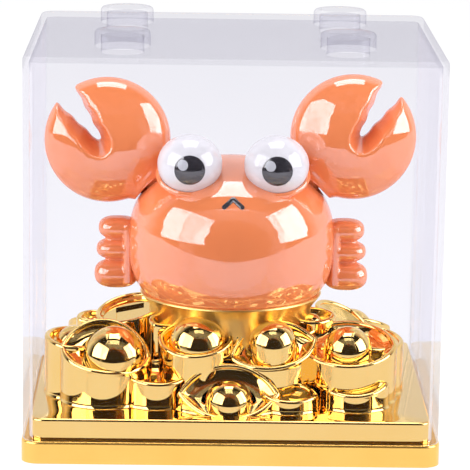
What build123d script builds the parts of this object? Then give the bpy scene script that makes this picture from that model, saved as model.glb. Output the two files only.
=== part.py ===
# Crab figurine on a pile of plated ingots, under a clear stacking display cover.
# Millimetres, +Z up, the front of the crab looks along -Y.
# The origin is at the middle of the plinth's underside.

from build123d import *
import os
from math import atan2, cos, degrees, radians, sin, sqrt

os.makedirs("parts", exist_ok=True)

# Crab body: a round bun, cut flat where it sits on the pile
body_radius = 30.8
body_top_rise = 24.4
body_drop = 22.0
body_top_radius = 41.0
body_bottom_radius = 84.0
shoulder_radius = 14.4
hip_radius = 14.4
body_seat_drop = 20.0
shell_wall = 2.0

# Plinth and deck
plinth_height = 6.5
plinth_depth = 100.0
plinth_corner = 5.0
plinth_wall = 2.0
plinth_top = 1.8
plinth_edge = 0.8
deck_height = 6.1
deck_wall = 2.0
deck_edge = 0.7
deck_corner = 3.6
pile_height = 23.4

# Clear cover with four stacking studs
cover_inset = 0.4
cover_wall = 1.8
cover_corner = 4.6
cover_edge = 1.2
deck_gap = 0.4
side_room = 1.8
head_room = 11.2
stud_radius = 8.0
stud_height = 4.8
stud_wall = 1.8
stud_edge = 1.2
stud_spacing_x = 64.6
stud_spacing_y = 50.0
socket_gap = 0.3
socket_wall = 1.6

# Claws: puffy discs with a toothed mouth, each turning on a pin inside the body
claw_radius = 18.8
claw_thickness = 22.0
claw_rim_radius = 7.5
claw_arm = 26.4
claw_angle = 38.2
claw_gap = 0.9
claw_draft = 25.0
right_claw_lift = 5.0
swing_down = 3.5
swing_up = 8.5
neck_radius = 4.2
neck_gap = 0.6
pivot_inset = 14.3
pivot_rise = 13.0
eyelet_radius = 4.6
eyelet_length = 9.0
eyelet_gap = 0.3
pin_radius = 2.0
pin_seat = 6.0
pin_fit = 0.05
boss_radius = 3.6

# Eyes
eye_radius = 9.3
eye_spread = 0.825 * body_radius
eye_forward = 0.487 * body_radius
eye_lift = 1.4
eye_peg_radius = 1.6
eye_peg_length = 3.0
eye_fit = 0.05
cup_wall = 1.6
cup_tilt = 35.0
cup_drop = 4.6
pupil_radius = 4.35
pupil_depth = 0.7
pupil_proud = 0.1
gaze_drop = 5.5

# Mouth: a small chevron on the front of the body
mouth_width = 5.2
mouth_height = 2.1
mouth_stroke = 1.0
mouth_rise = 14.4
mouth_proud = 0.3

# Legs: three stacked lobes on a strip at each side
lobe_rises = (2.8, -3.7, -11.3)
lobe_radii = (3.2, 2.9, 4.0)
lobe_reaches = (9.0, 9.6, 10.2)
lobe_root = 2.0
strip_thickness = 1.6
strip_half_depth = 5.0
strip_margin = 1.0
leg_peg_radius = 1.5
leg_peg_length = 3.2
leg_peg_fit = 0.05

# Screws
screw_radius = 1.3
screw_head_radius = 2.5
screw_head_height = 1.8
screw_hole_gap = 0.3
pilot_gap = 0.02
screw_boss_radius = 3.2
deck_screw_inset = 7.0
deck_screw_grip = 3.6
crab_screw_spread = 18.0
crab_screw_back = 8.0
crab_screw_grip = 8.0
shell_screw_spread = 34.0
shell_screw_rise = -8.0
shell_screw_seat = 7.0
shell_screw_grip = 8.0

# Ingots and coin of the pile
rim_wall = 1.6
rim_edge = 0.7
tip_round = 1.3
bowl_depth = 1.8
coin_radius = 10.4
coin_rim = 1.6
coin_recess = 0.8
coin_hole = 8.6
coin_hole_depth = 2.0
pile_margin = 1.2

# Worked out from the sizes above
deck_z = plinth_height + deck_height
seat_z = deck_z + pile_height
equator_z = seat_z + body_seat_drop
pivot_x = body_radius - pivot_inset
pivot_z = equator_z + pivot_rise
claw_x = pivot_x + claw_arm * cos(radians(claw_angle))
claw_z = pivot_z + claw_arm * sin(radians(claw_angle))
cover_inside_x = claw_x + claw_radius + side_room
cover_width = 2 * (cover_inside_x + cover_wall)
plinth_width = cover_width + 2 * cover_inset
cover_depth = plinth_depth - 2 * cover_inset
cover_roof_z = claw_z + claw_radius + head_room + cover_wall
deck_width = 2 * (cover_inside_x - deck_gap)
deck_depth = cover_depth - 2 * (cover_wall + deck_gap)
eye_z = equator_z + body_top_rise + eye_lift
seat_middle = body_bottom_radius - body_drop + body_seat_drop
seat_radius = sqrt(body_bottom_radius**2 - seat_middle**2)
eyelet_half = eyelet_length / 2
claw_half = claw_thickness / 2
claw_rim_middle = claw_radius - claw_rim_radius
claw_face_reach = claw_half**2 + claw_rim_middle**2 - claw_rim_radius**2
claw_face_radius = claw_face_reach / (2 * (claw_half - claw_rim_radius))
boss_face = eyelet_half + eyelet_gap


def bun_profile(grow):
    # Half of the body's outline, larger by grow all round
    with BuildSketch() as profile:
        with Locations((0, equator_z)):
            Rectangle(body_radius + grow, 4 * body_radius, align=(Align.MIN, Align.CENTER))
        with Locations((0, equator_z + body_top_rise - body_top_radius)):
            Circle(body_top_radius + grow, mode=Mode.INTERSECT)
        with Locations((0, equator_z - body_drop + body_bottom_radius)):
            Circle(body_bottom_radius + grow, mode=Mode.INTERSECT)
        fillet(profile.vertices().sort_by(Axis.Y)[1], hip_radius + grow)
        fillet(profile.vertices().sort_by(Axis.Y)[-2], shoulder_radius + grow)
    return profile.sketch


def bun(grow):
    # The body's round form, larger by grow all round
    with BuildPart() as form:
        with BuildSketch(Plane.XZ):
            add(bun_profile(grow))
        revolve(axis=Axis.Z)
    return form.part


outer_form = bun(0)
inner_form = bun(-shell_wall)


def screw(length):
    # A pan-head screw pointing up, its head's seat at the origin
    with BuildPart() as form:
        Cylinder(screw_radius, length, align=(Align.CENTER, Align.CENTER, Align.MIN))
        Cylinder(screw_head_radius, screw_head_height, align=(Align.CENTER, Align.CENTER, Align.MAX))
    return form.part


# Plinth: an upside-down tray with through holes for the studs of a case below
deck_screw_x = deck_width / 2 - deck_screw_inset
deck_screw_y = deck_depth / 2 - deck_screw_inset
socket_radius = stud_radius + socket_gap
with BuildPart() as plinth:
    with BuildSketch():
        RectangleRounded(plinth_width, plinth_depth, plinth_corner)
    extrude(amount=plinth_height)
    fillet(plinth.faces().sort_by(Axis.Z)[-1].edges(), plinth_edge)
    with BuildSketch():
        inside = (plinth_width - 2 * plinth_wall, plinth_depth - 2 * plinth_wall)
        RectangleRounded(*inside, plinth_corner - plinth_wall)
    extrude(amount=plinth_height - plinth_top, mode=Mode.SUBTRACT)
    with GridLocations(stud_spacing_x, stud_spacing_y, 2, 2):
        Cylinder(socket_radius + socket_wall, plinth_height, align=(Align.CENTER, Align.CENTER, Align.MIN))
        Cylinder(socket_radius, 3 * plinth_height, mode=Mode.SUBTRACT)
    with GridLocations(2 * deck_screw_x, 2 * deck_screw_y, 2, 2):
        Cylinder(screw_radius + screw_hole_gap, 3 * plinth_height, mode=Mode.SUBTRACT)


def leaf(length, width):
    # Boat-shaped outline with two narrow, rounded ends
    with BuildSketch() as outline:
        with BuildLine():
            ThreePointArc((-length / 2, 0), (0, width / 2), (length / 2, 0))
            ThreePointArc((length / 2, 0), (0, -width / 2), (-length / 2, 0))
        make_face()
        fillet(outline.vertices(), tip_round)
    return outline.sketch


def leaning_plane(across, along, height, heading, lean):
    # A plane over the deck, placed by shares of the deck's half sizes; it leans to the front at heading 0
    spot = (across * deck_width / 2, along * deck_depth / 2, deck_z + height)
    turn = radians(heading)
    tip = radians(lean)
    normal = (sin(tip) * sin(turn), -sin(tip) * cos(turn), cos(tip))
    return Plane(origin=spot, x_dir=(cos(turn), sin(turn), 0), z_dir=normal)


def standing_block(outline, top):
    # A straight-sided block that starts inside the deck and ends at a leaning plane, with a bevelled rim
    foot = Plane(origin=(top.origin.X, top.origin.Y, plinth_height), x_dir=top.x_dir, z_dir=(0, 0, 1))
    with BuildPart() as form:
        with BuildSketch(foot):
            add(outline)
        extrude(amount=deck_height + 2 * pile_height)
        split(bisect_by=top, keep=Keep.BOTTOM)
        chamfer(form.faces().sort_by(Axis.Z)[-1].edges(), rim_edge)
    return form.part


# The room that the heap may fill, inside the cover
with BuildPart() as heap_room:
    with BuildSketch(Plane.XY.offset(deck_z)):
        RectangleRounded(deck_width - 2 * pile_margin, deck_depth - 2 * pile_margin, deck_corner)
    extrude(amount=2 * pile_height)


def ingot(across, along, height, heading, lean, length, width, dome, sink):
    # A boat-shaped ingot with a bowl and a dome whose middle lies under the rim's by sink
    top = leaning_plane(across, along, height, heading, lean)
    with BuildPart() as form:
        add(standing_block(leaf(length, width * cos(radians(lean))), top))
        with BuildSketch(top):
            add(leaf(length - 4 * rim_wall, width - 2 * rim_wall))
        extrude(amount=-bowl_depth, mode=Mode.SUBTRACT)
        if dome > 0:
            middle = Vector(top.origin.X, top.origin.Y, top.origin.Z - sink)
            with Locations(middle):
                Sphere(dome)
                Cylinder(dome, middle.Z - plinth_height, align=(Align.CENTER, Align.CENTER, Align.MAX))
        add(heap_room.part, mode=Mode.INTERSECT)
    return form.part


def coin(across, along, height, heading, lean):
    # A round coin with a raised rim and a square hole
    top = leaning_plane(across, along, height, heading, lean)
    with BuildSketch() as outline:
        Circle(coin_radius)
    with BuildPart() as form:
        add(standing_block(outline.sketch, top))
        with BuildSketch(top):
            Circle(coin_radius - coin_rim)
        extrude(amount=-coin_recess, mode=Mode.SUBTRACT)
        with BuildSketch(top):
            Rectangle(coin_hole, coin_hole)
        extrude(amount=-coin_hole_depth, mode=Mode.SUBTRACT)
        add(heap_room.part, mode=Mode.INTERSECT)
    return form.part


# Each ingot: place across and along the deck, rim height, heading, lean, length, width, dome, sink
ingots = (
    (-0.64, -0.57, 16.1, -6, 32, 27.0, 22.5, 8.5, 2.6),
    (-0.37, -0.61, 8.7, 8, 14, 20.5, 16.0, 0, 0),
    (-0.01, -0.78, 5.4, 0, 48, 30.0, 19.0, 7.0, 5.0),
    (0.22, -0.55, 16.8, 20, 38, 27.0, 18.0, 7.2, 1.0),
    (0.29, -0.72, 4.6, -6, 14, 17.5, 13.0, 0, 0),
    (0.60, -0.45, 16.0, -5, 18, 29.0, 26.0, 7.1, 1.6),
    (0.65, -0.69, 5.8, 12, 18, 18.0, 10.0, 0, 0),
    (0.73, -0.26, 15.5, 65, 8, 25.0, 19.0, 6.0, 2.0),
    (0.42, -0.18, 21.4, 14, 10, 15.0, 12.0, 3.4, 2.4),
    (0.60, 0.10, 17.0, 75, 30, 24.0, 20.0, 0, 0),
    (-0.80, -0.32, 15.5, 74, 8, 24.0, 18.0, 6.0, 2.0),
    (-0.71, 0.06, 17.5, 40, 8, 13.0, 10.0, 0, 0),
    (-0.18, -0.50, 17.8, -12, 20, 22.5, 20.5, 8.1, 1.8),
    (-0.34, -0.27, 20.4, 60, 14, 13.0, 9.0, 0, 0),
    (0.05, -0.38, 18.6, 80, 10, 13.0, 9.0, 0, 0),
    (-0.64, 0.55, 9.5, 172, 24, 27.0, 23.0, 7.6, 2.0),
    (-0.22, 0.60, 12.0, 186, 28, 27.0, 22.0, 7.4, 2.0),
    (0.26, 0.58, 13.0, 174, 26, 27.0, 22.0, 7.4, 2.0),
    (0.66, 0.54, 10.5, 164, 26, 25.0, 21.0, 7.0, 2.0),
)
coin_place = (-0.53, 0.02, 20.8, -16, 14)

crab_screw_places = [(side * crab_screw_spread / 2, crab_screw_back, seat_z) for side in (-1, 1)]

# Hollow block under the heap, which the cover slips over
deck_inside = deck_height - deck_wall
with BuildPart() as block:
    with BuildSketch(Plane.XY.offset(plinth_height)):
        RectangleRounded(deck_width, deck_depth, deck_corner)
    extrude(amount=deck_height)
    fillet(block.faces().sort_by(Axis.Z)[-1].edges(), deck_edge)
    with BuildSketch(Plane.XY.offset(plinth_height)):
        inside = (deck_width - 2 * deck_wall, deck_depth - 2 * deck_wall)
        RectangleRounded(*inside, deck_corner - deck_wall)
    extrude(amount=deck_inside, mode=Mode.SUBTRACT)
    with BuildSketch(Plane.XY.offset(plinth_height)):
        with GridLocations(2 * deck_screw_x, 2 * deck_screw_y, 2, 2):
            Circle(screw_boss_radius)
    extrude(amount=deck_inside)
    with BuildSketch(Plane.XY.offset(plinth_height)):
        with GridLocations(2 * deck_screw_x, 2 * deck_screw_y, 2, 2):
            Circle(screw_radius + pilot_gap)
    extrude(amount=deck_screw_grip, mode=Mode.SUBTRACT)

# Ingot deck: one plated moulding, a hollow block that carries the heap and the crab's round pedestal
with BuildPart() as ingot_deck:
    add(block.part)
    with BuildSketch(Plane.XY.offset(deck_z)):
        Circle(seat_radius)
    extrude(amount=pile_height)
    for place in ingots:
        add(ingot(*place))
    add(coin(*coin_place))
    with Locations(*crab_screw_places):
        Cylinder(screw_radius + screw_hole_gap, 3 * seat_z, mode=Mode.SUBTRACT)

with BuildPart() as base_screws:
    with Locations((0, 0, plinth_height - plinth_top)):
        with GridLocations(2 * deck_screw_x, 2 * deck_screw_y, 2, 2):
            add(screw(plinth_top + deck_screw_grip - pilot_gap))

with BuildPart() as crab_screws:
    with Locations((0, 0, plinth_height + deck_inside - seat_z)):
        with Locations(*crab_screw_places):
            add(screw(deck_wall + pile_height + crab_screw_grip - pilot_gap))

# Clear cover: thin box with rounded edges, open below, with hollow studs on its roof
with BuildPart() as display_cover:
    with BuildSketch(Plane.XY.offset(plinth_height)):
        RectangleRounded(cover_width, cover_depth, cover_corner)
    extrude(amount=cover_roof_z - plinth_height)
    fillet(display_cover.faces().sort_by(Axis.Z)[-1].edges(), cover_edge)
    with BuildSketch(Plane.XY.offset(cover_roof_z)):
        with GridLocations(stud_spacing_x, stud_spacing_y, 2, 2):
            Circle(stud_radius)
    extrude(amount=stud_height)
    fillet(display_cover.faces().sort_by(Axis.Z)[-4:].edges(), stud_edge)
    with BuildSketch(Plane.XY.offset(plinth_height)):
        inside = (cover_width - 2 * cover_wall, cover_depth - 2 * cover_wall)
        RectangleRounded(*inside, cover_corner - cover_wall)
    extrude(amount=cover_roof_z - cover_wall - plinth_height, mode=Mode.SUBTRACT)
    with BuildSketch(Plane.XY.offset(cover_roof_z - cover_wall)):
        with GridLocations(stud_spacing_x, stud_spacing_y, 2, 2):
            Circle(stud_radius - stud_wall)
    extrude(amount=stud_height, mode=Mode.SUBTRACT)

# Where the claw's pin, its neck and the screws pass through the two body shells
pivot_places = ((-pivot_x, 0, pivot_z), (pivot_x, 0, pivot_z))
shell_screw_z = equator_z + shell_screw_rise
shell_screw_places = [(side * shell_screw_spread / 2, 0, shell_screw_z) for side in (-1, 1)]
upright = (90, 0, 0)

with BuildPart() as shell_bosses:
    with Locations(*pivot_places):
        Cylinder(boss_radius, 2 * body_radius, rotation=upright)
    with Locations(*shell_screw_places):
        Cylinder(screw_boss_radius, 2 * body_radius, rotation=upright)
    with Locations(*crab_screw_places):
        boss_height = crab_screw_grip + shell_wall
        Cylinder(screw_boss_radius, boss_height, align=(Align.CENTER, Align.CENTER, Align.MIN))
    with Locations(*pivot_places):
        Cylinder(eyelet_radius + eyelet_gap, 2 * boss_face, rotation=upright, mode=Mode.SUBTRACT)
    add(outer_form, mode=Mode.INTERSECT)

with BuildPart() as shell_hollow:
    add(inner_form)
    split(bisect_by=Plane.XY.offset(seat_z + shell_wall), keep=Keep.TOP)

with BuildPart() as shell_cuts:
    with Locations(*pivot_places):
        Cylinder(pin_radius + pilot_gap, 2 * (boss_face + pin_seat), rotation=upright)
    for side in (-1, 1):
        for turn in (-swing_down, 0, swing_up / 2, swing_up):
            angle = radians(claw_angle + turn)
            reach = (side * cos(angle), 0, sin(angle))
            with BuildSketch(Plane(origin=(side * pivot_x, 0, pivot_z), z_dir=reach)):
                Circle(neck_radius + neck_gap)
            extrude(amount=claw_arm)
    with Locations(*shell_screw_places):
        Cylinder(screw_radius + pilot_gap, 2 * shell_screw_grip, rotation=upright)
    with Locations(*crab_screw_places):
        Cylinder(screw_radius + pilot_gap, 2 * crab_screw_grip)
    for side in (-1, 1):
        peg_place = (side * body_radius, 0, equator_z + lobe_rises[1])
        with BuildSketch(Plane(origin=peg_place, z_dir=(-side, 0, 0))):
            Circle(leg_peg_radius + leg_peg_fit)
        extrude(amount=leg_peg_length, both=True)

# Rear shell: the screws go in from behind, in deep counterbores
with BuildPart() as body_rear:
    add(outer_form)
    add(shell_hollow.part, mode=Mode.SUBTRACT)
    add(shell_bosses.part)
    add(shell_cuts.part, mode=Mode.SUBTRACT)
    with Locations(*shell_screw_places):
        Cylinder(screw_radius + screw_hole_gap, 2 * body_radius, rotation=upright, mode=Mode.SUBTRACT)
    with BuildSketch(Plane.XZ.offset(-shell_screw_seat)):
        with Locations(*[(x, z) for x, y, z in shell_screw_places]):
            Circle(screw_head_radius + screw_hole_gap)
    extrude(amount=-body_radius, mode=Mode.SUBTRACT)
    split(bisect_by=Plane.XY.offset(seat_z), keep=Keep.TOP)
    split(bisect_by=Plane.XZ, keep=Keep.BOTTOM)

with BuildPart() as body_screws:
    for x, y, z in shell_screw_places:
        with Locations(Location((x, shell_screw_seat, z), upright)):
            add(screw(shell_screw_seat + shell_screw_grip - pilot_gap))

# Front shell: carries the two raised cups that the eyeballs sit in
eye_places = [(side * eye_spread / 2, -eye_forward, eye_z) for side in (-1, 1)]
cup_axis = Vector(0, -sin(radians(cup_tilt)), cos(radians(cup_tilt)))
with BuildPart() as eye_cups:
    with Locations(*eye_places):
        Sphere(eye_radius + cup_wall)
    brim = Plane(origin=Vector(*eye_places[0]) - cup_axis * cup_drop, z_dir=cup_axis)
    split(bisect_by=brim, keep=Keep.BOTTOM)

with BuildPart() as eye_room:
    with Locations(*eye_places):
        Sphere(eye_radius + eye_fit)
    for place in eye_places:
        with BuildSketch(Plane(origin=place, z_dir=-cup_axis)):
            Circle(eye_peg_radius + eye_fit)
        extrude(amount=eye_radius + cup_wall + eye_peg_length)

with BuildPart() as body_front:
    add(outer_form)
    add(shell_hollow.part, mode=Mode.SUBTRACT)
    add(shell_bosses.part)
    add(shell_cuts.part, mode=Mode.SUBTRACT)
    add(eye_cups.part)
    add(eye_room.part, mode=Mode.SUBTRACT)
    split(bisect_by=Plane.XY.offset(seat_z), keep=Keep.TOP)
    split(bisect_by=Plane.XZ, keep=Keep.TOP)

# Eyes: white balls on pegs, each with a round black pupil let into its front
gaze = Vector(0, -cos(radians(gaze_drop)), -sin(radians(gaze_drop)))
pupil_floor = sqrt(eye_radius**2 - pupil_radius**2) - pupil_depth


def eyeball(place):
    with BuildPart() as form:
        with Locations(place):
            Sphere(eye_radius)
        with BuildSketch(Plane(origin=place, z_dir=-cup_axis)):
            Circle(eye_peg_radius)
        extrude(amount=eye_radius + cup_wall + eye_peg_length - eye_fit)
        with BuildSketch(Plane(origin=place, z_dir=gaze).offset(pupil_floor)):
            Circle(pupil_radius)
        extrude(amount=eye_radius, mode=Mode.SUBTRACT)
    return form.part


def pupil(place):
    with BuildPart() as form:
        with Locations(place):
            Sphere(eye_radius + pupil_proud)
        with BuildSketch(Plane(origin=place, z_dir=gaze).offset(pupil_floor)):
            Circle(pupil_radius)
        extrude(amount=eye_radius, mode=Mode.INTERSECT)
    return form.part


# Mouth: a raised chevron that follows the body
mouth_z = equator_z + mouth_rise
mouth_slope = degrees(atan2(mouth_height, mouth_width / 2))
mouth_arm = sqrt(mouth_height**2 + mouth_width**2 / 4)
with BuildPart() as mouth:
    with BuildSketch(Plane.XZ):
        for side in (-1, 1):
            with Locations((side * mouth_width / 4, mouth_z)):
                SlotCenterToCenter(mouth_arm, mouth_stroke, -side * mouth_slope)
    extrude(amount=2 * body_radius)
    add(bun(mouth_proud), mode=Mode.INTERSECT)
    add(outer_form, mode=Mode.SUBTRACT)

# Legs: three lobes on a strip that follows the body's side
strip_low = equator_z + lobe_rises[-1] - lobe_radii[-1] + strip_margin
strip_high = equator_z + lobe_rises[0] + lobe_radii[0] - strip_margin
with BuildPart() as left_legs:
    add(bun(strip_thickness))
    with BuildSketch(Plane.XY.offset(strip_low)):
        with Locations((-body_radius, 0)):
            Rectangle(body_radius, 2 * strip_half_depth)
    extrude(amount=strip_high - strip_low, mode=Mode.INTERSECT)
    for rise, radius, reach in zip(lobe_rises, lobe_radii, lobe_reaches):
        root = (-body_radius + lobe_root, equator_z + rise)
        with BuildSketch(Plane.XZ):
            with Locations(root):
                SlotOverall(2 * (reach + lobe_root), 2 * radius)
                below = (Align.CENTER, Align.MAX)
                Rectangle(4 * reach, 2 * radius, align=below, mode=Mode.SUBTRACT)
        revolve(axis=Axis((root[0], 0, root[1]), (1, 0, 0)))
    add(outer_form, mode=Mode.SUBTRACT)
    with BuildSketch(Plane(origin=(-body_radius, 0, equator_z + lobe_rises[1]), z_dir=(1, 0, 0))):
        Circle(leg_peg_radius)
    extrude(amount=leg_peg_length - leg_peg_fit, both=True)

with BuildPart() as right_legs:
    add(left_legs.part)
    mirror(about=Plane.YZ, mode=Mode.REPLACE)

# Left claw, in two halves: a puffy disc with a toothed mouth, cut to clear the body, on a neck
# with an eyelet.
# The mouth's corners are shares of the claw's radius, outwards and upwards from its middle.
mouth_corners = (
    (0.17, 0.06),
    (0.28, 0.24),
    (0.40, 0.40),
    (0.43, 0.58),
    (0.62, 1.02),
    (1.10, 1.10),
    (0.86, 0.50),
    (0.71, 0.45),
    (0.63, 0.33),
    (0.54, 0.24),
    (0.40, 0.21),
)
claw_axis = Axis((-claw_x, 0, claw_z), (0, 1, 0))
neck_way = Vector(-cos(radians(claw_angle)), 0, sin(radians(claw_angle)))
with BuildPart() as claw_mouth:
    with BuildSketch(Plane.XZ):
        corners = [(-claw_x - claw_radius * out, claw_z + claw_radius * up) for out, up in mouth_corners]
        Polygon(*corners, align=None)
    extrude(amount=claw_thickness, taper=-claw_draft)

with BuildPart() as claw_neck:
    with BuildSketch(Plane(origin=(-pivot_x, 0, pivot_z), z_dir=neck_way)):
        Circle(neck_radius)
    extrude(amount=claw_arm - claw_radius / 2)
    with Locations((-pivot_x, 0, pivot_z)):
        Cylinder(eyelet_radius, eyelet_length, rotation=upright)
    split(bisect_by=Plane.XZ, keep=Keep.TOP)

with BuildPart() as left_claw_front:
    with BuildSketch(Plane.XY.offset(claw_z)) as disc:
        with Locations((-claw_x, claw_face_radius - claw_half)):
            Circle(claw_face_radius)
        with Locations((-claw_x, claw_half - claw_face_radius)):
            Circle(claw_face_radius, mode=Mode.INTERSECT)
        fillet(disc.vertices(), claw_rim_radius)
        with Locations((-claw_x, 0)):
            beside = (Align.MAX, Align.CENTER)
            Rectangle(2 * claw_radius, 2 * claw_thickness, align=beside, mode=Mode.SUBTRACT)
    revolve(axis=claw_axis)
    split(bisect_by=Plane.XZ, keep=Keep.TOP)
    add(claw_mouth.part, mode=Mode.SUBTRACT)
    with BuildSketch(Plane.XZ):
        add(bun_profile(claw_gap))
        mirror(about=Plane.YZ)
    extrude(amount=claw_thickness, both=True, mode=Mode.SUBTRACT)
    add(claw_neck.part)
    with Locations((-pivot_x, 0, pivot_z)):
        Cylinder(pin_radius + pin_fit, 2 * eyelet_length, rotation=upright, mode=Mode.SUBTRACT)

with BuildPart() as left_claw_rear:
    add(left_claw_front.part)
    mirror(about=Plane.XZ, mode=Mode.REPLACE)

# Right claw: the left one mirrored, raised a little on its pin
right_pivot = Axis((pivot_x, 0, pivot_z), (0, 1, 0))
right_claw_front = left_claw_front.part.mirror(Plane.YZ).rotate(right_pivot, -right_claw_lift)
right_claw_rear = left_claw_rear.part.mirror(Plane.YZ).rotate(right_pivot, -right_claw_lift)

# Pins that the claws turn on, held in the bosses of both shells
with BuildPart() as left_claw_pin:
    with Locations(pivot_places[0]):
        Cylinder(pin_radius, 2 * (boss_face + pin_seat - pilot_gap), rotation=upright)
with BuildPart() as right_claw_pin:
    with Locations(pivot_places[1]):
        Cylinder(pin_radius, 2 * (boss_face + pin_seat - pilot_gap), rotation=upright)

pieces = {
    "display_cover": display_cover.part,
    "plinth": plinth.part,
    "ingot_deck": ingot_deck.part,
    "base_screws": base_screws.part,
    "crab_screws": crab_screws.part,
    "body_front": body_front.part,
    "body_rear": body_rear.part,
    "body_screws": body_screws.part,
    "mouth": mouth.part,
    "left_eye": eyeball(eye_places[0]),
    "right_eye": eyeball(eye_places[1]),
    "left_pupil": pupil(eye_places[0]),
    "right_pupil": pupil(eye_places[1]),
    "left_legs": left_legs.part,
    "right_legs": right_legs.part,
    "left_claw_front": left_claw_front.part,
    "left_claw_rear": left_claw_rear.part,
    "right_claw_front": right_claw_front,
    "right_claw_rear": right_claw_rear,
    "left_claw_pin": left_claw_pin.part,
    "right_claw_pin": right_claw_pin.part,
}
for name, piece in pieces.items():
    piece.label = name
    export_step(piece, f"parts/{name}.step")
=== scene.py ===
import math
import bpy
from mathutils import Matrix, Vector

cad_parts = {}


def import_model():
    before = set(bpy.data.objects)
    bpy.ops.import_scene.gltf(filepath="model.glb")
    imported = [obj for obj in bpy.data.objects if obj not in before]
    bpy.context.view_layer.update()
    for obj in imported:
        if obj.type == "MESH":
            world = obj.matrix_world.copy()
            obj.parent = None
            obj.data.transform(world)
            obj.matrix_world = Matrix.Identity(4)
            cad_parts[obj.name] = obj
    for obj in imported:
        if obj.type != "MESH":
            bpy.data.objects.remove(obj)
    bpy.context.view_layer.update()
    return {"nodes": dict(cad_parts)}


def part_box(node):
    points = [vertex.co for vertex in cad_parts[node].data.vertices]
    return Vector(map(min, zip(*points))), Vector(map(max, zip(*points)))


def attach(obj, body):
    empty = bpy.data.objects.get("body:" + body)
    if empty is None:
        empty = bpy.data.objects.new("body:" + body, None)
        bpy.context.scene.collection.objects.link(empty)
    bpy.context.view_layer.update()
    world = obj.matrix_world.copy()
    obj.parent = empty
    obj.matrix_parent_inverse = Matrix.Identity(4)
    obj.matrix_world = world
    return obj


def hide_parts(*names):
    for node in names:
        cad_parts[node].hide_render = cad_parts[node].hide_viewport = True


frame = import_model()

mm = 0.001  # pieces are drawn in millimetres
print("frame loaded:", len(frame["nodes"]), "nodes")


class Wire:  # one node output, with plain arithmetic
    def __init__(self, paint, socket):
        self.paint = paint
        self.socket = socket

    def math(self, operation, first, second):
        return self.paint.node("ShaderNodeMath", {"operation": operation}, {0: first, 1: second})

    def __add__(self, other):
        return self.math("ADD", self, other)

    def __sub__(self, other):
        return self.math("SUBTRACT", self, other)

    def __rsub__(self, other):
        return self.math("SUBTRACT", other, self)

    def __mul__(self, other):
        return self.math("MULTIPLY", self, other)

    def __pow__(self, other):
        return self.math("POWER", self, other)

    def __rpow__(self, other):
        return self.math("POWER", other, self)

    __radd__ = __add__
    __rmul__ = __mul__


class Paint:  # a node tree that is filled by code
    def __init__(self, tree):
        self.tree = tree
        self.tree.nodes.clear()

    def node(self, kind, settings=None, inputs=None, output=0):
        made = self.tree.nodes.new(kind)
        for key, value in (settings or {}).items():
            setattr(made, key, value)
        for key, value in (inputs or {}).items():
            if isinstance(value, Wire):
                self.tree.links.new(value.socket, made.inputs[key])
            else:
                made.inputs[key].default_value = value
        return Wire(self, made.outputs[output]) if made.outputs else None

    def place(self):
        return self.node("ShaderNodeTexCoord", output="Object")

    def axis(self, vector, name):
        return self.node("ShaderNodeSeparateXYZ", {}, {0: vector}, output=name)

    def noise(self, scale, detail):
        sockets = {"Vector": self.place(), "Scale": scale, "Detail": detail}
        return self.node("ShaderNodeTexNoise", {}, sockets)

    def blend(self, factor, first, second):
        return self.node("ShaderNodeMix", {"data_type": "RGBA"}, {0: factor, 6: first, 7: second}, output=2)

    def mix(self, factor, first, second):
        return self.node("ShaderNodeMixShader", {}, {0: factor, 1: first, 2: second})

    def ramp(self, value, low, high):
        sockets = {"Value": value, "From Min": low, "From Max": high}
        return self.node("ShaderNodeMapRange", {"clamp": True}, sockets)

    def bump(self, height, strength, distance):
        sockets = {"Height": height, "Strength": strength, "Distance": distance}
        return self.node("ShaderNodeBump", {}, sockets)

    def glow(self, colour, strength):
        return self.node("ShaderNodeEmission", {}, {"Color": colour, "Strength": strength})

    def ray(self, kind):
        return self.node("ShaderNodeLightPath", output=kind)

    def close(self, surface, kind="ShaderNodeOutputMaterial"):
        self.node(kind, {}, {"Surface": surface})


def newPaint(name):
    material = bpy.data.materials.new(name)
    material.use_nodes = True
    return material, Paint(material.node_tree)


def coatPaint(name, look):  # clouded colour and roughness, with a fine relief where the finish has one
    material, paint = newPaint(name)
    cloud = paint.noise(*look["cloud"])
    speckle = paint.noise(*look["speckle"]) if "speckle" in look else cloud
    sockets = {
        "Base Color": paint.blend(cloud, look["low"], look["high"]),
        "Roughness": speckle * look["roughSpread"] + look["rough"],
    }
    if "grain" in look:
        scale, detail, strength, distance = look["grain"]
        sockets["Normal"] = paint.bump(paint.noise(scale, detail), strength, distance)
    sockets.update(look["sockets"])
    paint.close(paint.node("ShaderNodeBsdfPrincipled", {}, sockets))
    return material


# noises are given as scale and detail, a grain also with its strength and depth
shellLook = {
    "low": (0.84, 0.235, 0.080, 1), "high": (0.90, 0.275, 0.108, 1), "cloud": (60, 3),
    "rough": 0.03, "roughSpread": 0.02, "grain": (900, 2, 0.02, 0.0002), "sockets": {"IOR": 2.4},
}
goldLook = {
    "low": (0.98, 0.65, 0.20, 1), "high": (1.0, 0.71, 0.26, 1), "cloud": (80, 3),
    "rough": 0.03, "roughSpread": 0.03, "grain": (350, 1, 0.03, 0.0003), "sockets": {"Metallic": 1.0},
}
softLook = {**goldLook, "rough": 0.34}  # duller plating on the pedestal
satinLook = {
    "low": (0.95, 0.52, 0.11, 1), "high": (1.0, 0.63, 0.18, 1), "cloud": (40, 3), "speckle": (2500, 2),
    "rough": 0.2, "roughSpread": 0.08, "grain": (2500, 2, 0.04, 0.0001), "sockets": {"Metallic": 0.9},
}
eyeLook = {
    "low": (0.66, 0.65, 0.67, 1), "high": (0.71, 0.70, 0.72, 1), "cloud": (120, 2),
    "rough": 0.015, "roughSpread": 0.015, "sockets": {"IOR": 1.8},
}
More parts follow.
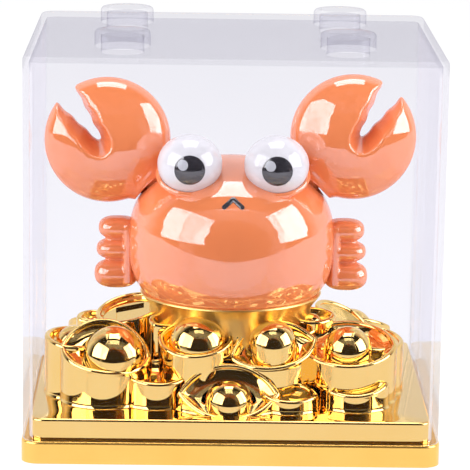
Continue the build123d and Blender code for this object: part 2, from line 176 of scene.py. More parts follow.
pupilLook = {
    "low": (0.022, 0.021, 0.026, 1), "high": (0.036, 0.034, 0.042, 1), "cloud": (200, 2),
    "rough": 0.04, "roughSpread": 0.04, "sockets": {"IOR": 2.2},
}
glintLook = {
    "low": (0.46, 0.47, 0.50, 1), "high": (0.52, 0.53, 0.57, 1), "cloud": (300, 2),
    "rough": 0.05, "roughSpread": 0.05, "sockets": {},
}
steelLook = {
    "low": (0.50, 0.50, 0.52, 1), "high": (0.66, 0.66, 0.68, 1), "cloud": (700, 3),
    "rough": 0.2, "roughSpread": 0.2, "sockets": {"Metallic": 1.0},
}
acrylicLook = {
    "tint": (0.958, 0.956, 0.972, 1), "edge": (0.62, 0.61, 0.67, 1), "facing": 0.35, "edgePower": 3,
    "edgeShare": 0.28, "roofShadeShare": 0.54, "roofZ": 0.114, "roofStep": 0.002,
    "ior": 1.45, "headOn": 0.03, "mirror": 0.5, "roofMirror": 0.38,
    "haze": (30, 2), "rough": 0.01, "roughSpread": 0.02,
}


def acrylicPaint():  # thin clear moulding, greyer where it turns away, and greyed on its roof as painted shade
    look = acrylicLook
    material, paint = newPaint("clearAcrylic")
    turned = paint.node("ShaderNodeLayerWeight", {}, {"Blend": look["facing"]}, output="Facing")
    fresnel = paint.node("ShaderNodeFresnel", {}, {"IOR": look["ior"]})
    haze = paint.noise(*look["haze"]) * look["roughSpread"] + look["rough"]
    clear = paint.node("ShaderNodeBsdfTransparent", {}, {"Color": look["tint"]})
    dim = paint.node("ShaderNodeBsdfTransparent", {}, {"Color": look["edge"]})
    gloss = paint.node("ShaderNodeBsdfGlossy", {}, {"Color": (1, 1, 1, 1), "Roughness": haze})
    # the roof's extra grey is painted shade laid on by height, not a different acrylic
    roof = paint.ramp(paint.axis(paint.place(), "Z"), look["roofZ"] - look["roofStep"], look["roofZ"])
    share = turned ** look["edgePower"] * (roof * look["roofShadeShare"] + look["edgeShare"])
    mirror = (fresnel - look["headOn"]) * (look["mirror"] - roof * look["roofMirror"])
    paint.close(paint.mix(mirror, paint.mix(share, clear, dim), gloss))
    return material


orange = coatPaint("orangeCoat", shellLook)
gold = coatPaint("goldPlating", goldLook)
softGold = coatPaint("softPlating", softLook)
satin = coatPaint("satinGold", satinLook)
white = coatPaint("eyeWhite", eyeLook)
black = coatPaint("pupilBlack", pupilLook)
glint = coatPaint("pupilGlint", glintLook)
steel = coatPaint("turnedSteel", steelLook)
acrylic = acrylicPaint()
print("materials ready")


def pick(*pieces):  # select these alone, the first one active
    bpy.ops.object.select_all(action="DESELECT")
    for piece in pieces:
        piece.select_set(True)
    bpy.context.view_layer.objects.active = pieces[0]


def tidyMesh(piece, angle=40):  # normals outwards, smooth except at real edges
    pick(piece)
    bpy.ops.object.mode_set(mode="EDIT")
    bpy.ops.mesh.select_all(action="SELECT")
    bpy.ops.mesh.normals_make_consistent(inside=False)
    bpy.ops.object.mode_set(mode="OBJECT")
    bpy.ops.object.shade_smooth_by_angle(angle=math.radians(angle))


def loftPiece(name, rows):  # rows of points from a top point to a bottom point, drawn on a ball
    bpy.ops.object.select_all(action="DESELECT")
    bpy.ops.mesh.primitive_uv_sphere_add(segments=len(rows[1]), ring_count=len(rows) - 1, radius=1)
    piece = bpy.context.object
    piece.name = name
    levels = {}
    for vertex in piece.data.vertices:
        levels.setdefault(round(vertex.co.z, 5), []).append(vertex)
    for level, row in zip(sorted(levels, reverse=True), rows):
        around = sorted(levels[level], key=lambda v: math.atan2(v.co.y, v.co.x) % math.tau)
        points = row if isinstance(row, list) else [row]
        for vertex, point in zip(around, points):
            vertex.co = Vector(point) * mm
    tidyMesh(piece)
    return piece


def eachPoint(rows, place):  # the same rows with every point put through a function
    return [[place(p) for p in row] if isinstance(row, list) else place(row) for row in rows]


def joinPieces(name, pieces):
    pick(*pieces)
    bpy.ops.object.join()
    pieces[0].name = name
    return pieces[0]


def useModifier(piece, kind, **settings):
    pick(piece)
    modifier = piece.modifiers.new(kind.lower(), kind)
    for key, value in settings.items():
        setattr(modifier, key, value)
    bpy.ops.object.modifier_apply(modifier=modifier.name)


def cutWith(piece, operation, tool):  # Boolean with a piece that isn't needed after it
    useModifier(piece, "BOOLEAN", operation=operation, object=tool, solver="EXACT")
    bpy.data.objects.remove(tool)


def soften(piece, voxel, passes):  # one moulded skin with rounded creases
    useModifier(piece, "REMESH", mode="VOXEL", voxel_size=voxel * mm)
    useModifier(piece, "SMOOTH", factor=0.5, iterations=passes)
    tidyMesh(piece, 180)


def dress(piece, material, body, slot, *nodes):
    piece.data.materials.clear()
    piece.data.materials.append(material)
    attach(piece, body)
    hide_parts(*nodes)


def circleRow(radius, z, count):
    turns = [math.tau * k / count for k in range(count)]
    return [(radius * math.cos(t), radius * math.sin(t), z) for t in turns]


def boxRow(halfX, halfY, corner, z, perCorner=8):  # rounded rectangle
    row = []
    for quarter, (sx, sy) in enumerate(((1, 1), (-1, 1), (-1, -1), (1, -1))):
        for k in range(perCorner):
            t = math.pi / 2 * (quarter + k / (perCorner - 1))
            x = sx * (halfX - corner) + corner * math.cos(t)
            y = sy * (halfY - corner) + corner * math.sin(t)
            row.append((x, y, z))
    return row


deckHalfX, deckHalfY = [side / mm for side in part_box("ingot_deck")[1][:2]]
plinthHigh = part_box("plinth")[1][2] / mm
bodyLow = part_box("body_front")[0][2] / mm
deckShape = {"top": plinthHigh + 6.1, "corner": 3.6, "edge": 0.7, "steps": 5}


def deckBlock():
    top, edge, corner = deckShape["top"], deckShape["edge"], deckShape["corner"]
    rows = [(0, 0, top)]
    for k in range(deckShape["steps"]):  # rounded upper edge
        t = math.pi / 2 * k / (deckShape["steps"] - 1)
        cut = edge * (1 - math.sin(t))
        rows.append(boxRow(deckHalfX - cut, deckHalfY - cut, corner, top - edge + edge * math.cos(t)))
    rows.append(boxRow(deckHalfX, deckHalfY, corner, plinthHigh))
    rows.append((0, 0, plinthHigh))
    return loftPiece("deckBlock", rows)


bodyShape = {
    "radius": 30.8, "equator": 56.0, "topRise": 24.4, "drop": 22.0, "topPower": 2.3, "lowPower": 3.0,
    "foot": 19.0, "steps": 48, "count": 128,
}


def lowRadius(z):  # the body's radius at a height below its equator
    share = (bodyShape["equator"] - z) / bodyShape["drop"]
    return bodyShape["radius"] * (1 - share ** bodyShape["lowPower"]) ** (1 / bodyShape["lowPower"])


def highRadius(z):  # the body's radius at a height above its equator
    share = (z - bodyShape["equator"]) / bodyShape["topRise"]
    return bodyShape["radius"] * (1 - share ** bodyShape["topPower"]) ** (1 / bodyShape["topPower"])


pedestalShape = {
    "lipZ": 39.6, "lip": 0.65, "neck": 24.4, "neckZ": 36.0, "gap": 0.1, "sunk": 0.5,
    "steps": 8, "lipSteps": 8, "count": 128,
}


def pedestal():  # round foot with a dish whose lip lies close round the body
    shape, count = pedestalShape, pedestalShape["count"]
    lip, lipZ, gap, low = shape["lip"], shape["lipZ"], shape["gap"], bodyLow - shape["gap"]
    rows = [(0, 0, low)]
    for k in range(shape["steps"] + 1):
        z = low + (lipZ - low) * k / shape["steps"]
        rows.append(circleRow(lowRadius(z) + gap, z, count))
    middle = lowRadius(lipZ) + gap + lip
    for k in range(1, shape["lipSteps"] + 1):
        t = math.pi * (1 - k / shape["lipSteps"])
        rows.append(circleRow(middle + lip * math.cos(t), lipZ + lip * math.sin(t), count))
    foot = deckShape["top"] - shape["sunk"]
    rows.append(circleRow(shape["neck"], shape["neckZ"], count))
    rows.append(circleRow(shape["neck"], foot, count))
    rows.append((0, 0, foot))
    return loftPiece("pedestal", rows)


def leafRow(length, width, inset, count):  # boat outline in its own plane, pointed at both ends
    half, side = length / 2, width / 2
    bend = (half * half + side * side) / (2 * side)
    radius = bend - inset
    reach = math.sqrt(max(radius * radius - (bend - side) ** 2, 0.01))
    sweep = math.asin(min(reach / radius, 1))
    row = []
    for k in range(count):
        part = 2 * k / count
        sign = 1 if part < 1 else -1
        t = sweep * (1 - 2 * (part % 1)) * sign
        row.append((radius * math.sin(t), sign * (side - bend + radius * math.cos(t))))
    return row


ingotShape = {
    "bead": 0.85, "bowl": 1.7, "bowlPower": 2.5, "navel": 0.05, "domeGap": 0.3, "collar": 0.5, "flare": 0.5,
    "flareTop": 2.2, "sunk": 0.3, "count": 96, "beadSteps": 8, "bowlSteps": 6, "domeSteps": 12,
}
# across and along the deck as shares, rim height, heading, lean, length, width,
# then the dome's radius, sink and shift, the droop of the rim's ends and its skew
ingotPlaces = (
    (-0.64, -0.57, 16.1, -6, 32, 27.0, 22.5, 9.2, 4.0, 2.4, 3.0, 2.0),
    (-0.37, -0.61, 8.7, 8, 14, 20.5, 16.0, 0, 0, 0, 0, 0),
    (-0.01, -0.78, 5.4, 0, 48, 30.0, 19.0, 7.0, 5.0, 0, 1.0, 0),
    (0.22, -0.55, 16.8, 20, 38, 27.0, 18.0, 7.2, 1.0, 0, 2.0, -2.6),
    (0.29, -0.72, 4.6, -6, 14, 17.5, 13.0, 0, 0, 0, 0, 0.6),
    (0.60, -0.45, 16.0, -5, 18, 29.0, 26.0, 7.2, 1.6, 0, 0, 0),
    (0.65, -0.69, 5.8, 12, 18, 18.0, 10.0, 0, 0, 0, 0, -1.0),
    (0.73, -0.26, 15.5, 65, 8, 25.0, 19.0, 0, 0, 0, 0, 0),
    (0.42, -0.18, 21.4, 14, 10, 15.0, 12.0, 3.4, 2.4, 0, 0, 0),
    (0.60, 0.10, 17.0, 75, 30, 24.0, 20.0, 0, 0, 0, 0, 0),
    (-0.80, -0.32, 15.5, 74, 8, 24.0, 18.0, 6.0, 2.0, 0, 0, 0),
    (-0.71, 0.06, 17.5, 40, 8, 13.0, 10.0, 0, 0, 0, 0, 0),
    (-0.18, -0.50, 17.8, -12, 20, 22.5, 20.5, 8.8, 2.4, 0.6, 0, 0),
    (-0.34, -0.27, 20.4, 60, 14, 13.0, 9.0, 0, 0, 0, 0, 0),
    (0.05, -0.38, 18.6, 80, 10, 13.0, 9.0, 0, 0, 0, 0, 0),
    (-0.64, 0.55, 9.5, 172, 24, 27.0, 23.0, 7.6, 2.0, 0, 0, 0),
    (-0.22, 0.60, 12.0, 186, 28, 27.0, 22.0, 7.4, 2.0, 0, 0, 0),
    (0.26, 0.58, 13.0, 174, 26, 27.0, 22.0, 7.4, 2.0, 0, 0, 0),
    (0.66, 0.54, 10.5, 164, 26, 25.0, 21.0, 7.0, 2.0, 0, 0, 0),
)


def leaningFrame(across, along, height, heading, lean):
    turn, tip = math.radians(heading), math.radians(lean)
    origin = Vector((across * deckHalfX, along * deckHalfY, deckShape["top"] + height))
    xDir = Vector((math.cos(turn), math.sin(turn), 0))
    normal = Vector((math.sin(tip) * math.sin(turn), -math.sin(tip) * math.cos(turn), math.cos(tip)))
    return origin, xDir, normal.cross(xDir), normal


def outwards(point, middle):
    return Vector((point.x - middle.x, point.y - middle.y, 0)).normalized()


def ingot(name, across, along, height, heading, lean, length, width, dome, sink, shift, droop, skew):
    origin, xDir, yDir, normal = leaningFrame(across, along, height, heading, lean)
    shape, count, bead, bowl = ingotShape, ingotShape["count"], ingotShape["bead"], ingotShape["bowl"]

    def world(point, lift):  # the rim's two ends may hang lower than its middle
        share = 2 * point[0] / length
        rise = lift - droop * share * share - skew * share
        return origin + xDir * point[0] + yDir * point[1] + normal * rise

    inner = leafRow(length, width, 2 * bead, count)
    rows = []
    if dome:
        room = (width / 2 - 2 * bead) * math.cos(math.radians(lean))
        back = max(dome + shape["domeGap"] - room, 0)  # a big dome stands back from the front rim
        centre = origin + xDir * shift + yDir * back - Vector((0, 0, sink))
        turn = Matrix.Rotation(math.radians(heading), 3, "Z")
        rows.append(centre + Vector((0, 0, dome)))
        for k in range(1, shape["domeSteps"] + 1):
            t = math.pi / 2 * k / shape["domeSteps"]
            ring = circleRow(dome * math.sin(t), dome * math.cos(t), count)
            rows.append([centre + turn @ Vector(p) for p in ring])
        floor = []
        for point in rows[-1]:  # the dome's wall goes straight down to the bowl's floor
            drop = (point - (origin - normal * bowl)).dot(normal) / normal.z
            floor.append(point - Vector((0, 0, max(drop, 0))))
        rows.append(floor)
        start = [((p - origin).dot(xDir), (p - origin).dot(yDir)) for p in floor]
    else:
        rows.append(world((0, 0), -bowl))
        start = [(shape["navel"] * x, shape["navel"] * y) for x, y in inner]
    for k in range(1, shape["bowlSteps"] + 1):
        part = k / shape["bowlSteps"]
        depth = -bowl * (1 - part ** shape["bowlPower"])
        flat = [(a[0] + (b[0] - a[0]) * part, a[1] + (b[1] - a[1]) * part) for a, b in zip(start, inner)]
        rows.append([world(p, depth) for p in flat])
    for k in range(1, shape["beadSteps"] + 1):
        t = math.pi * (1 - k / shape["beadSteps"])
        ring = leafRow(length, width, bead * (1 - math.cos(t)), count)
        rows.append([world(p, bead * math.sin(t)) for p in ring])
    foot, flare = deckShape["top"] - shape["sunk"], shape["flare"]
    wall = rows[-1]
    rows.append([p - Vector((0, 0, min(shape["collar"], p.z - foot))) for p in wall])
    for lift in (shape["flareTop"] * flare, flare):
        rows.append([Vector((p.x, p.y, min(deckShape["top"] + lift, p.z))) for p in wall])
    rows.append([Vector((p.x, p.y, foot)) + outwards(p, origin) * flare for p in wall])
    rows.append(Vector((origin.x, origin.y, foot)))
    return loftPiece(name, rows)


coinShape = {
    "radius": 10.4, "rim": 1.7, "bead": 0.8, "recess": 0.8, "slope": 0.6, "lipDrop": 0.2,
    "hole": 4.3, "holeDepth": 1.6, "beadSteps": 5, "count": 96,
}
coinPlace = (-0.53, 0.02, 20.8, -48.75, 16)  # as an ingot's first five


def coin():
    origin, xDir, yDir, normal = leaningFrame(*coinPlace)
    shape = coinShape
    turns = [math.tau * k / shape["count"] for k in range(shape["count"])]

    def ring(reach, lift):
        middle = origin + normal * lift
        return [middle + (xDir * math.cos(t) + yDir * math.sin(t)) * reach for t in turns]

    def square(lift):  # the hole's sides lie along the deck
        row = []
        for t in turns:
            turned = t + math.radians(coinPlace[3])
            reach = shape["hole"] / max(abs(math.cos(turned)), abs(math.sin(turned)))
            row.append(origin + (xDir * math.cos(t) + yDir * math.sin(t)) * reach + normal * lift)
        return row

    inside = shape["radius"] - shape["rim"]
    rows = [origin - normal * shape["holeDepth"], square(-shape["holeDepth"]), square(-shape["recess"])]
    rows += [ring(inside - shape["slope"], -shape["recess"]), ring(inside, -shape["lipDrop"])]
    for k in range(shape["beadSteps"] + 1):
        t = math.pi * (1 - k / shape["beadSteps"])
        rows.append(ring(inside + shape["rim"] / 2 * (1 + math.cos(t)), shape["bead"] * math.sin(t)))
    foot = deckShape["top"] - ingotShape["sunk"]
    rows.append([Vector((p.x, p.y, foot)) for p in rows[-1]])
    rows.append(Vector((origin.x, origin.y, foot)))
    return loftPiece("coin", rows)


goldPieces = [deckBlock(), pedestal(), coin()]
for number, place in enumerate(ingotPlaces):
    goldPieces.append(ingot("ingot%02d" % number, *place))
for piece in goldPieces:
    dress(piece, softGold if piece.name == "pedestal" else gold, "base", "plated_gold", "ingot_deck")
print("gold deck and heap:", len(goldPieces), "pieces")


def bodyRow(angle, grow=0):  # radius and height of the body's outline at an angle from the equator
    rise = bodyShape["topRise"] if angle > 0 else bodyShape["drop"]
    power = 2 / (bodyShape["topPower"] if angle > 0 else bodyShape["lowPower"])
    out = (bodyShape["radius"] + grow) * max(math.cos(angle), 0) ** power
    up = (rise + grow) * math.copysign(abs(math.sin(angle)) ** power, angle)
    return out, bodyShape["equator"] + up


def crabBody():
    rows = [(0, 0, bodyShape["equator"] + bodyShape["topRise"])]
    for k in range(1, bodyShape["steps"]):
        out, z = bodyRow(math.pi / 2 - math.pi * k / bodyShape["steps"])
        if z < bodyLow:
            break
        rows.append(circleRow(out, z, bodyShape["count"]))
    rows.append(circleRow(bodyShape["foot"], bodyLow, bodyShape["count"]))
    rows.append((0, 0, bodyLow))
    return loftPiece("crabBody", rows)


eyeShape = {
    "radius": 9.3, "wide": 1.025, "tall": 0.935, "spread": 12.7, "forward": 15.0, "z": 81.1,
    "cupWall": 1.5, "cupGap": 0.08, "cupTilt": 35.0, "cupDrop": 4.6,
    "steps": 48, "insideSteps": 12, "brimSteps": 8, "outsideSteps": 13, "count": 72,
}
pupilShape = {
    "wide": 4.35, "tall": 4.65, "shiftZ": -0.35, "proud": 0.1, "depth": 0.5, "bulge": 1.02,
    "glintX": -1.95, "glintZ": 1.35, "glintWide": 1.45, "glintTall": 1.65, "glintProud": 0.04,
    "glintDepth": 0.1, "steps": 8, "count": 48,
}


def eyeMiddle(side):
    return Vector((side * eyeShape["spread"], -eyeShape["forward"], eyeShape["z"]))


def eyeScale(point):  # the eyes are a little flattened
    return Vector((point.x * eyeShape["wide"], point.y, point.z * eyeShape["tall"]))


def eyeCup(side):  # raised orange dish that the eyeball sits in
    shape, count, low = eyeShape, eyeShape["count"], -math.pi / 2
    tilt = Matrix.Rotation(math.radians(shape["cupTilt"]), 3, "X")
    inner, outer = shape["radius"] + shape["cupGap"], shape["radius"] + shape["cupWall"]
    brim = math.asin(-shape["cupDrop"] / outer)
    rows = [(0, 0, -inner)]
    for k in range(1, shape["insideSteps"] + 1):
        t = low + (brim - low) * k / shape["insideSteps"]
        rows.append(circleRow(inner * math.cos(t), inner * math.sin(t), count))
    middle, half = (inner + outer) / 2, (outer - inner) / 2
    for k in range(1, shape["brimSteps"]):
        t = math.pi * k / shape["brimSteps"]
        reach = middle - half * math.cos(t)
        rows.append(circleRow(reach * math.cos(brim), reach * math.sin(brim) + half * math.sin(t), count))
    for k in range(shape["outsideSteps"]):
        t = brim - (brim - low) * k / shape["outsideSteps"]
        rows.append(circleRow(outer * math.cos(t), outer * math.sin(t), count))
    rows.append((0, 0, -outer))
    return loftPiece("eyeCup", eachPoint(rows, lambda p: eyeMiddle(side) + eyeScale(tilt @ Vector(p))))


def eyeball(name, side):
    radius, steps = eyeShape["radius"], eyeShape["steps"]
    rows = [(0, 0, radius)]
    for k in range(1, steps):
        t = math.pi * k / steps
        rows.append(circleRow(radius * math.sin(t), radius * math.cos(t), eyeShape["count"]))
    rows.append((0, 0, -radius))
    return loftPiece(name, eachPoint(rows, lambda p: eyeMiddle(side) + eyeScale(Vector(p))))


def capPiece(name, side, radius, depth, wide, tall, shiftX, shiftZ):  # thin oval button on the ball
    steps, bulge = pupilShape["steps"], pupilShape["bulge"]

    def ring(reach, size):  # an oval of this size on a ball of this radius, looking ahead
        row = []
        for x, z, _ in circleRow(size, 0, pupilShape["count"]):
            u, v = shiftX + wide * x, shiftZ + tall * z
            spot = Vector((u, -math.sqrt(reach * reach - u * u - v * v), v))
            row.append(eyeMiddle(side) + eyeScale(spot))
        return row

    rows = [ring(radius, 0)[0]]
    rows += [ring(radius, k / steps) for k in range(1, steps + 1)]
    rows += [ring(radius - depth / 2, bulge), ring(radius - depth, 1), ring(radius - depth, 0)[0]]
    return loftPiece(name, rows)


def eyes(name, side):
    shape = pupilShape
    ball = eyeShape["radius"] + shape["proud"]
    dress(eyeball(name + "Eyeball", side), white, "base", "eye_white", name + "_eye")
    size = (shape["depth"], shape["wide"], shape["tall"])
    pupil = capPiece(name + "Pupil", side, ball, *size, 0, shape["shiftZ"])
    dress(pupil, black, "base", "black_gloss", name + "_pupil")
    size = (shape["glintDepth"], shape["glintWide"], shape["glintTall"])
    shift = (shape["glintX"], shape["glintZ"])
    spot = capPiece(name + "Glint", side, ball + shape["glintProud"], *size, *shift)
    dress(spot, glint, "base", "eye_white", name + "_pupil")


eyes("left", -1)
eyes("right", 1)
print("eyes")

neckShape = {
    "pivotX": 16.5, "pivotZ": 69.0, "angle": 40.7, "wide": 4.8, "tall": 7.0, "reach": 26.0, "count": 48,
}


def neckSlot(side):  # oval hole in the body that the claw's neck swings in
    shape = neckShape
    start = Vector((side * shape["pivotX"], 0, shape["pivotZ"]))
    angle = math.radians(shape["angle"])
    way = Vector((side * math.cos(angle), 0, math.sin(angle)))
    flat = Vector((0, 1, 0))
    rise = way.cross(flat)
    circle = circleRow(1, 0, shape["count"])
    ring = [flat * shape["wide"] * p[0] + rise * shape["tall"] * p[1] for p in circle]
    far = start + way * shape["reach"]
    return loftPiece("neckSlot", [far, [far + p for p in ring], [start + p for p in ring], start])


crab = crabBody()
for side in (-1, 1):
    cutWith(crab, "DIFFERENCE", neckSlot(side))
tidyMesh(crab)
crabSkin = joinPieces("crabBody", [crab, eyeCup(-1), eyeCup(1)])
dress(crabSkin, orange, "base", "orange_shell", "body_front", "body_rear")
print("crab body")

clawShape = {
    "x": 37.25, "z": 85.33, "radius": 18.8, "half": 11.0, "rim": 7.5, "face": 27.5, "lift": 5.0,
    "steps": 24, "count": 96, "voxel": 0.4, "passes": 12,
}
mouthCut = {
    "apex": (2.7, 0.6), "way": (0.608, 0.794), "tight": 0.4, "open": 0.175, "draft": 20.0, "reach": 26.0,
    "wave": 0.22, "waveLength": 5.6, "waveEnd": 16, "endSteps": 16, "sideSteps": 24,
    "levels": (-14, -11, -8, -5.5, -3, -1, 1, 3, 5.5, 8, 11, 14),
}
shoulderShape = {"arm": 14.0, "along": 10.0, "across": 10.7, "depth": 7.0, "steps": 24, "count": 48}
armShape = {"angle": 38.2, "radius": 4.4, "reach": 20.0, "count": 48}
prismShape = {"gap": 0.45, "depth": 14, "steps": 48}


def clawPlace(side, point):  # from the left claw to either claw; the right one stands a little higher
    if side < 0:
        return Vector(point)
    pivot = Vector((neckShape["pivotX"], 0, neckShape["pivotZ"]))
    lift = Matrix.Rotation(math.radians(-clawShape["lift"]), 3, "Y")
    return pivot + lift @ (Vector((-point[0], point[1], point[2])) - pivot)


def clawLoft(name, side, rows):
    return loftPiece(name, eachPoint(rows, lambda p: clawPlace(side, p)))


def clawDisc(side):  # puffy disc turned about the depth axis
    shape, steps = clawShape, clawShape["steps"]
    core = shape["radius"] - shape["rim"]
    tangent = math.asin(core / (shape["face"] - shape["rim"]))
    half = []
    for k in range(1, steps + 1):
        t = math.pi / 2 * k / steps
        if t < tangent:
            half.append((shape["face"] * math.sin(t), shape["half"] - shape["face"] * (1 - math.cos(t))))
        else:
            half.append((core + shape["rim"] * math.sin(t), shape["rim"] * math.cos(t)))
    profile = [(r, -y) for r, y in half] + [(r, y) for r, y in reversed(half[:-1])]
    rows = [(-shape["x"], -shape["half"], shape["z"])]
    for reach, y in profile:
        ring = circleRow(reach, 0, shape["count"])
        rows.append([(p[0] - shape["x"], y, p[1] + shape["z"]) for p in ring])
    rows.append((-shape["x"], shape["half"], shape["z"]))
    return clawLoft("clawDisc", side, rows)


def armFrame():  # the left arm's pin, its way outwards and the way across it
    angle = math.radians(armShape["angle"])
    start = Vector((-neckShape["pivotX"], 0, neckShape["pivotZ"]))
    along = Vector((-math.cos(angle), 0, math.sin(angle)))
    return start, along, Vector((math.sin(angle), 0, math.cos(angle)))


def clawShoulder(side):  # swelling between the disc and the body
    shape = shoulderShape
    start, along, across = armFrame()
    wide, deep = across * shape["across"], Vector((0, shape["depth"], 0))
    centre = start + along * shape["arm"]
    rows = [centre + along * shape["along"]]
    for k in range(1, shape["steps"]):
        t = math.pi * k / shape["steps"]
        middle = centre + along * shape["along"] * math.cos(t)
        ring = circleRow(math.sin(t), 0, shape["count"])
        rows.append([middle + wide * p[0] + deep * p[1] for p in ring])
    rows.append(centre - along * shape["along"])
    return clawLoft("clawShoulder", side, rows)


def clawArm(side):  # neck that goes into the body to the pin
    start, along, across = armFrame()
    circle = circleRow(armShape["radius"], 0, armShape["count"])
    ring = [across * p[0] + Vector((0, p[1], 0)) for p in circle]
    far = start + along * armShape["reach"]
    return clawLoft("clawArm", side, [far, [far + p for p in ring], [start + p for p in ring], start])


def middleOf(ring):
    return sum((Vector(p) for p in ring), Vector()) / len(ring)


def mouthOutline(grow):  # the mouth's flat outline, round at its inner end and wavy along its two jaws
    shape = mouthCut
    apex, way = Vector(shape["apex"]), Vector(shape["way"]).normalized()
    beside = Vector((-way.y, way.x))
    tight, steps = shape["tight"] + grow, shape["sideSteps"]
    outline = []
    for k in range(shape["endSteps"] + 1):
        t = math.pi / 2 + math.pi * k / shape["endSteps"]
        outline.append(apex + (way * math.cos(t) + beside * math.sin(t)) * tight)
    for sign, order in ((-1, range(1, steps + 1)), (1, range(steps, 0, -1))):
        for k in order:
            s = shape["reach"] * k / steps
            wave = shape["wave"] * math.sin(math.tau * s / shape["waveLength"]) * (s < shape["waveEnd"])
            outline.append(apex + way * s + beside * sign * (tight + shape["open"] * s + wave))
    return outline


def clawMouth(side):  # wedge that opens from the middle plane to both faces
    draft = math.tan(math.radians(mouthCut["draft"]))
    rings = []
    for y in mouthCut["levels"]:
        outline = mouthOutline(abs(y) * draft)
        rings.append([(-clawShape["x"] - p.x, y, clawShape["z"] + p.y) for p in outline])
    return clawLoft("clawMouth", side, [middleOf(rings[0]), *rings, middleOf(rings[-1])])


def bodyPrism(side):  # the body's outline with some room, cut out of the claw
    depth, steps = prismShape["depth"], prismShape["steps"]
    outline = [bodyRow(math.pi / 2 - math.pi * k / steps, prismShape["gap"]) for k in range(steps + 1)]
    outline += [(-out, z) for out, z in reversed(outline[1:-1])]
    front, back = [[(x, y, z) for x, z in outline] for y in (-depth, depth)]
    middle = bodyShape["equator"]
    return clawLoft("bodyPrism", side, [(0, -depth, middle), front, back, (0, depth, middle)])


def claws(name, side):
    claw = clawDisc(side)
    cutWith(claw, "UNION", clawShoulder(side))
    cutWith(claw, "DIFFERENCE", clawMouth(side))
    cutWith(claw, "DIFFERENCE", bodyPrism(side))
    claw = joinPieces(name + "Claw", [claw, clawArm(side)])
    soften(claw, clawShape["voxel"], clawShape["passes"])
    dress(claw, orange, name + "_claw", "orange_shell", name + "_claw_front", name + "_claw_rear")


claws("left", -1)
claws("right", 1)
print("claws")

legShape = {
    "lobes": ((58.8, 3.5, 9.0), (52.3, 3.2, 9.6), (44.7, 4.4, 10.2)),  # height, half height, reach
    "depth": 5.0, "power": 2.6, "root": 3.0, "steps": 24, "count": 48, "voxel": 0.35, "passes": 6,
}
stripShape = {"low": 42.2, "high": 60.5, "depth": 5.0, "thick": 2.6, "corner": 1.0, "proud": 0.1}


def legLobe(side, z, radius, reach):
    shape, power = legShape, 2 / legShape["power"]
    half = (reach + shape["root"]) / 2
    centre = Vector((side * (bodyShape["radius"] + reach - half), 0, z))
    rows = [centre + Vector((half, 0, 0))]
    for k in range(1, shape["steps"]):
        t = math.pi * k / shape["steps"]
        x = half * math.copysign(abs(math.cos(t)) ** power, math.cos(t))
        ring = circleRow(math.sin(t) ** power, 0, shape["count"])
        rows.append([centre + Vector((x, p[0] * shape["depth"], p[1] * radius)) for p in ring])
    rows.append(centre - Vector((half, 0, 0)))
    return loftPiece("lobe", rows)


def legStrip(side):
    shape = stripShape
    middle = side * (bodyShape["radius"] + shape["proud"])
    flat = boxRow(shape["thick"] / 2, shape["depth"], shape["corner"], 0)
    high, low = [[(middle + x, y, z) for x, y, _ in flat] for z in (shape["high"], shape["low"])]
    return loftPiece("strip", [(middle, 0, shape["high"]), high, low, (middle, 0, shape["low"])])


def legs(name, side):
    lobes = [legLobe(side, *lobe) for lobe in legShape["lobes"]]
    piece = joinPieces(name + "Legs", [*lobes, legStrip(side)])
    soften(piece, legShape["voxel"], legShape["passes"])
    dress(piece, orange, "base", "orange_shell", name + "_legs")


legs("left", -1)
legs("right", 1)
print("legs")

mouthShape = {
    "z": 71.6, "halfWidth": 2.6, "height": 2.1, "stroke": 0.74, "proud": 0.4, "tilt": 0.6, "tip": 0.7,
    "steps": 10, "count": 16,
}


def mouthBar(side):  # one arm of the chevron, a rounded bar laid on the body
    shape, steps, tip = mouthShape, mouthShape["steps"], mouthShape["tip"]
    path = []
    for k in range(steps + 1):
        part = k / steps
        x, z = side * shape["halfWidth"] * part, shape["z"] + shape["height"] * (0.5 - part)
        path.append(Vector((x, -math.sqrt(highRadius(z) ** 2 - x * x), z)))
    along = (path[-1] - path[0]).normalized()
    outward = Vector((path[0].x, path[0].y, shape["tilt"] * abs(path[0].y))).normalized()
    across, end = along.cross(outward) * shape["stroke"], along * shape["stroke"]
    out = outward * shape["proud"]
    stations = [(path[0] - end * tip, tip), *((spot, 1) for spot in path), (path[-1] + end * tip, tip)]
    rows = [path[0] - end]
    for middle, size in stations:
        rows.append([middle + across * x + out * z for x, z, _ in circleRow(size, 0, shape["count"])])
    rows.append(path[-1] + end)
    return loftPiece("mouthBar", rows)


mouth = joinPieces("mouthChevron", [mouthBar(-1), mouthBar(1)])
dress(mouth, black, "base", "black_gloss", "mouth")
print("mouth")

nodeFinish = {
    "plinth": satin, "display_cover": acrylic, "base_screws": steel, "crab_screws": steel,
    "body_screws": steel, "left_claw_pin": steel, "right_claw_pin": steel,
}
for name, material in nodeFinish.items():
    node = frame["nodes"][name]
    node.data.materials.clear()
    node.data.materials.append(material)
print("CAD nodes dressed")

floorShape = {
    "size": 6.0, "colour": (0.88, 0.88, 0.89, 1), "white": 1.1, "seen": 0.8,
    "sheet": (0.98, 0.96, 1, 1), "sheetGlow": 1.14, "sheetEdge": -0.27, "edgeBlur": 0.003,
}
roomLook = {
    "ambient": (0.585, 0.585, 0.585, 1), "dark": (0.035, 0.028, 0.022, 1), "rearFrom": 0.1, "rearTo": 0.45,
}
plainWhite = (1, 1, 1, 1)


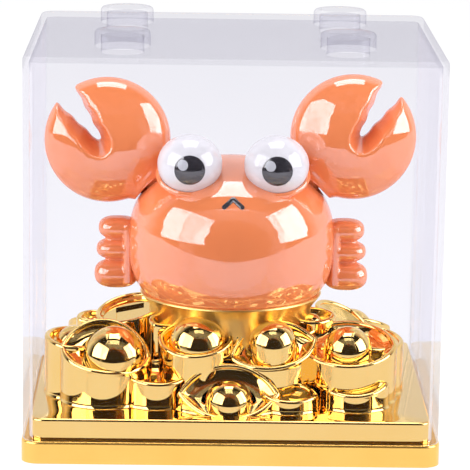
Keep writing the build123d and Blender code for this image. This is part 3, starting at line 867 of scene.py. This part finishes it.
def paleFloor():  # white to the camera, and in mirrors a white sheet with the dark room in front of it
    shape = floorShape
    bpy.ops.object.select_all(action="DESELECT")
    bpy.ops.mesh.primitive_plane_add(size=shape["size"], location=(0, 0, 0))
    floor = bpy.context.object
    floor.name = "studioFloor"
    material, paint = newPaint("paleFloor")
    straight = paint.ray("Is Camera Ray") + paint.ray("Is Transmission Ray")
    matte = paint.node("ShaderNodeBsdfDiffuse", {}, {"Color": shape["colour"]})
    lit = paint.mix(straight * shape["seen"], matte, paint.glow(plainWhite, shape["white"]))
    low, high = shape["sheetEdge"] - shape["edgeBlur"], shape["sheetEdge"] + shape["edgeBlur"]
    onSheet = paint.ramp(paint.axis(paint.place(), "Y"), low, high)
    room = paint.glow(roomLook["dark"], 1.0)
    mirrored = paint.mix(onSheet, room, paint.glow(shape["sheet"], shape["sheetGlow"]))
    paint.close(paint.mix(paint.ray("Is Glossy Ray"), lit, mirrored))
    floor.data.materials.append(material)


def studioWorld():  # white to the camera, soft grey light, and in mirrors white behind and dark in front
    world = bpy.data.worlds.new("studioWorld")
    bpy.context.scene.world = world
    world.use_nodes = True
    paint = Paint(world.node_tree)
    straight = paint.ray("Is Camera Ray") + paint.ray("Is Transmission Ray")
    heading = paint.axis(paint.node("ShaderNodeTexCoord", output="Generated"), "Y")
    rear = paint.ramp(heading, roomLook["rearFrom"], roomLook["rearTo"])
    mirrored = paint.blend(rear, roomLook["dark"], plainWhite)
    shade = paint.blend(paint.ray("Is Glossy Ray"), roomLook["ambient"], mirrored)
    shade = paint.blend(straight, shade, plainWhite)
    paint.close(paint.node("ShaderNodeBackground", {}, {"Color": shade}), "ShaderNodeOutputWorld")


softboxes = {  # place, target, width, height, power
    "boxLeft": ((-0.467, -0.303, 0.295), (0, 0, 0.07), 0.64, 0.47, 4.0),
    "boxRight": ((0.532, -0.163, 0.295), (0, 0, 0.07), 0.45, 0.47, 3.5),
    "boxTop": ((0, 0.09, 0.67), (0, 0, 0.06), 0.36, 0.32, 1.6),
}


def softbox(name, place, target, width, height, power):
    lamp = bpy.data.lights.new(name, "AREA")
    lamp.shape = "RECTANGLE"
    lamp.size, lamp.size_y = width, height
    lamp.energy = power
    holder = bpy.data.objects.new(name, lamp)
    bpy.context.collection.objects.link(holder)
    holder.location = place
    holder.rotation_euler = (Vector(target) - Vector(place)).to_track_quat("-Z", "Y").to_euler()
    holder.visible_camera = False


cameraSet = {
    "place": (-0.011246, -0.80131, 0.230768), "pitch": 12.251, "yaw": 0.879, "roll": 0.887,
    "focal": 2737.667, "pixels": 470, "sensor": 36,  # focal length in pixels of the picture
}


def photoCamera():
    pitch, yaw, roll = [math.radians(cameraSet[key]) for key in ("pitch", "yaw", "roll")]
    ahead = Vector((math.sin(yaw) * math.cos(pitch), math.cos(yaw) * math.cos(pitch), -math.sin(pitch)))
    level = Vector((math.cos(yaw), -math.sin(yaw), 0))
    upright = level.cross(ahead)
    right = level * math.cos(roll) + upright * math.sin(roll)
    up = upright * math.cos(roll) - level * math.sin(roll)
    lens = bpy.data.cameras.new("photoCamera")
    lens.sensor_width = cameraSet["sensor"]
    lens.lens = cameraSet["focal"] * cameraSet["sensor"] / cameraSet["pixels"]
    camera = bpy.data.objects.new("photoCamera", lens)
    bpy.context.collection.objects.link(camera)
    turn = Matrix((right, up, -ahead)).transposed().to_4x4()
    camera.matrix_world = Matrix.Translation(cameraSet["place"]) @ turn
    bpy.context.scene.camera = camera


paleFloor()
studioWorld()
for name, setting in softboxes.items():
    softbox(name, *setting)
photoCamera()
bpy.context.scene.view_settings.view_transform = "Standard"
print("studio and camera set")
